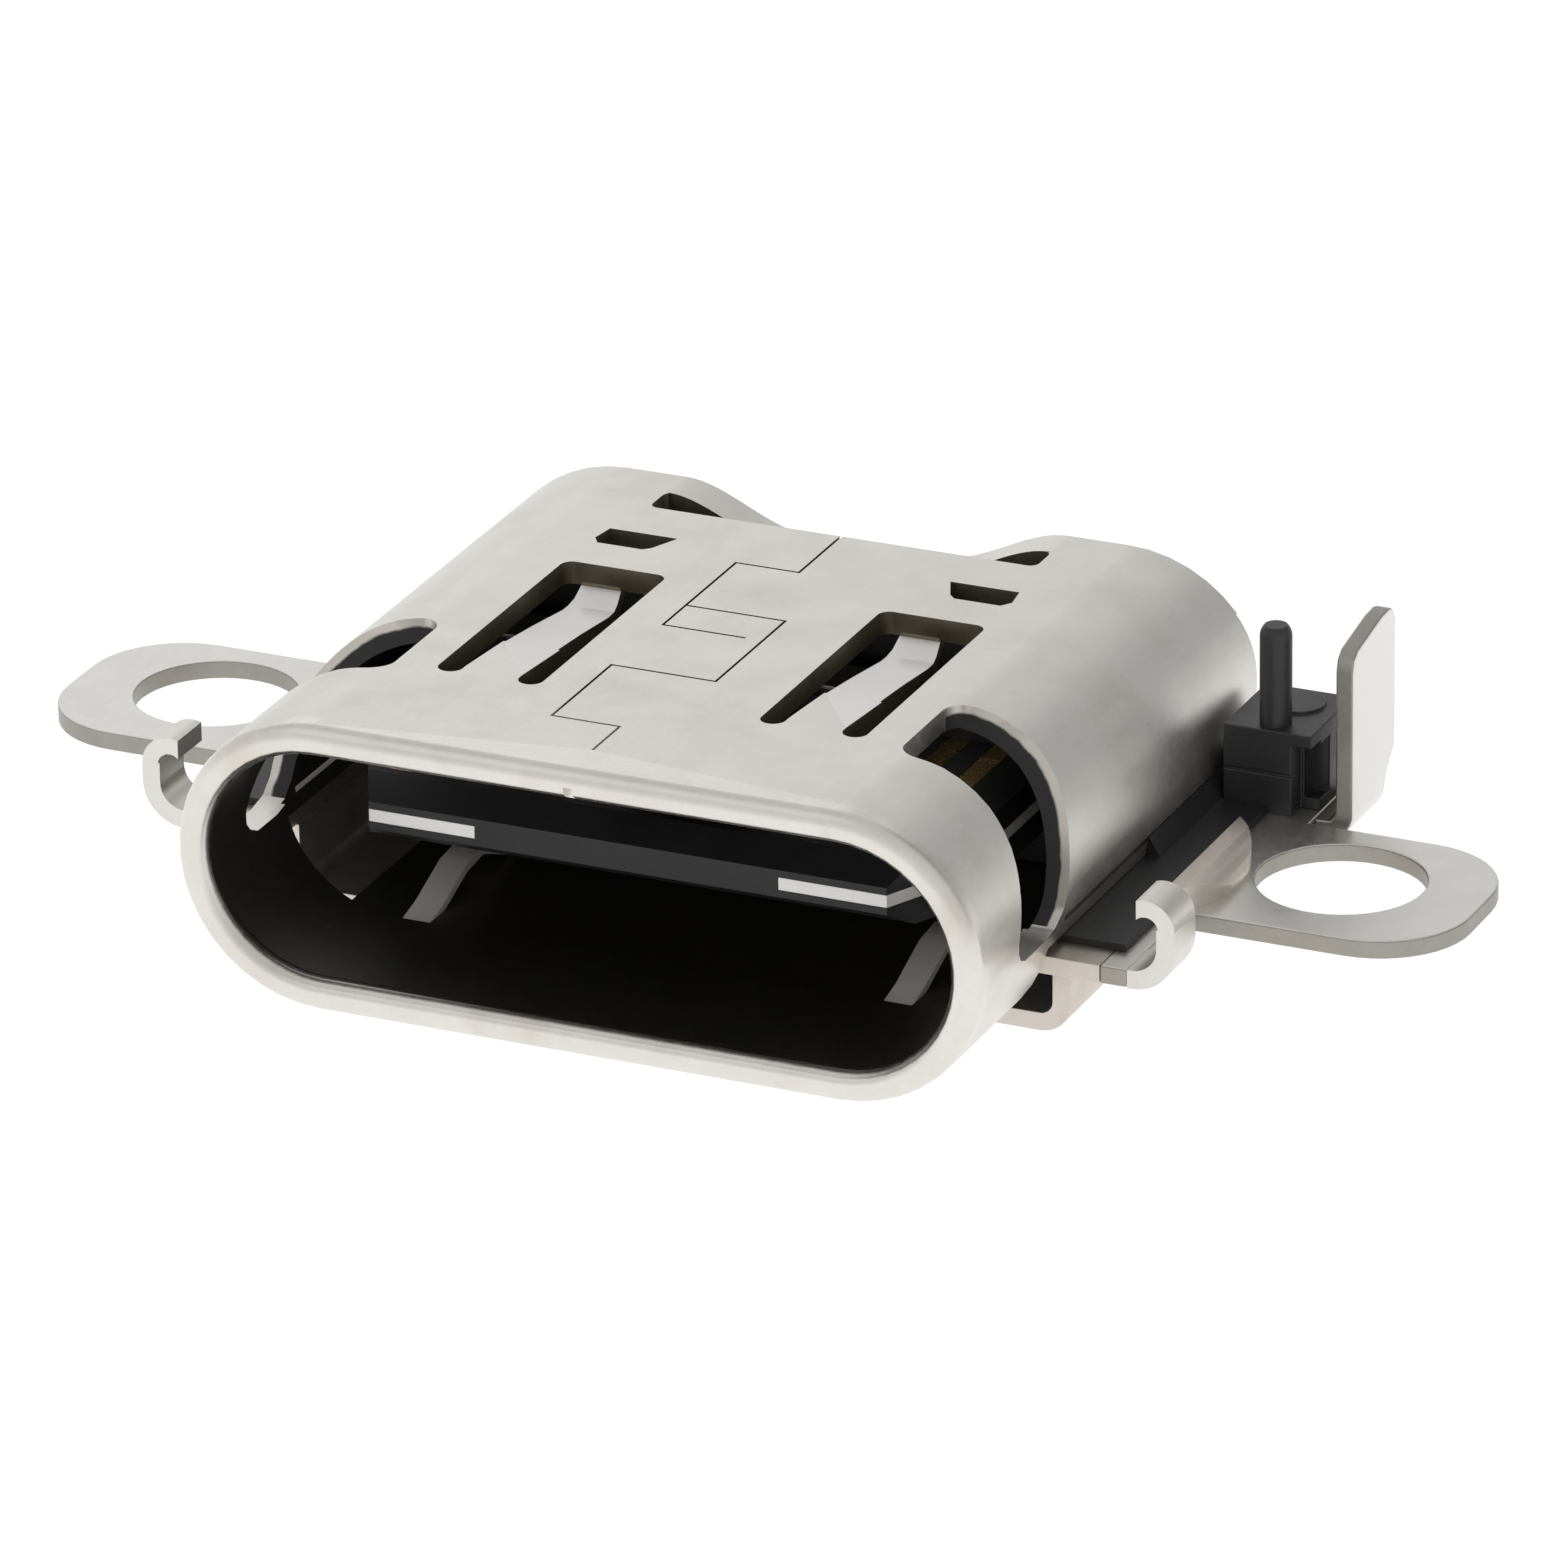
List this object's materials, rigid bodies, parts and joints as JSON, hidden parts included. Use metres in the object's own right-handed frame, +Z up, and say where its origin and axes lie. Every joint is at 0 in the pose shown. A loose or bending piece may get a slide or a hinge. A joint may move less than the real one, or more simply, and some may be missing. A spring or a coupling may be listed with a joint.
{
  "type": "usb-c socket",
  "caption": "Reversible receptacle with a full-round metal mouth, latched tongue, sprung shell and two screw ears for mounting beside a board.",
  "frame": {"origin": "centre of the plug mouth, on the mouth's front plane", "axes": "+Y back into the socket, +X to the right seen from the mouth, +Z up away from the side the shell rests on"},
  "size_m": [0.016, 0.0081, 0.0032],
  "materials": {
    "shell_metal": "satin nickel over steel",
    "bracket_metal": "satin nickel over steel",
    "spring_metal": "bright nickel",
    "black_plastic": "fine moulded matt",
    "gold": "gold flash"
  },
  "bodies": {
    "root": {"shell": "shell_metal", "frame_left": "bracket_metal", "frame_right": "bracket_metal", "ear_left": "bracket_metal", "ear_right": "bracket_metal", "curl_left": "bracket_metal", "curl_right": "bracket_metal", "shoulder_left": "bracket_metal", "shoulder_right": "bracket_metal", "leg": "bracket_metal", "rear_leg_left": "bracket_metal", "rear_leg_right": "bracket_metal", "housing": "black_plastic", "tongue": "black_plastic", "lug_left": "black_plastic", "lug_right": "black_plastic", "peg": "black_plastic", "latch_left": "spring_metal", "latch_right": "spring_metal", "ground_top": "spring_metal", "ground_bottom": "spring_metal", "side_spring_left": "spring_metal", "side_spring_right": "spring_metal", "contact_a1": "gold", "contact_a2": "gold", "contact_a3": "gold", "contact_a4": "gold", "contact_a5": "gold", "contact_a6": "gold", "contact_a7": "gold", "contact_a8": "gold", "contact_a9": "gold", "contact_a10": "gold", "contact_a11": "gold", "contact_a12": "gold", "contact_b1": "gold", "contact_b2": "gold", "contact_b3": "gold", "contact_b4": "gold", "contact_b5": "gold", "contact_b6": "gold", "contact_b7": "gold", "contact_b8": "gold", "contact_b9": "gold", "contact_b10": "gold", "contact_b11": "gold", "contact_b12": "gold"}
  },
  "joints": []
}
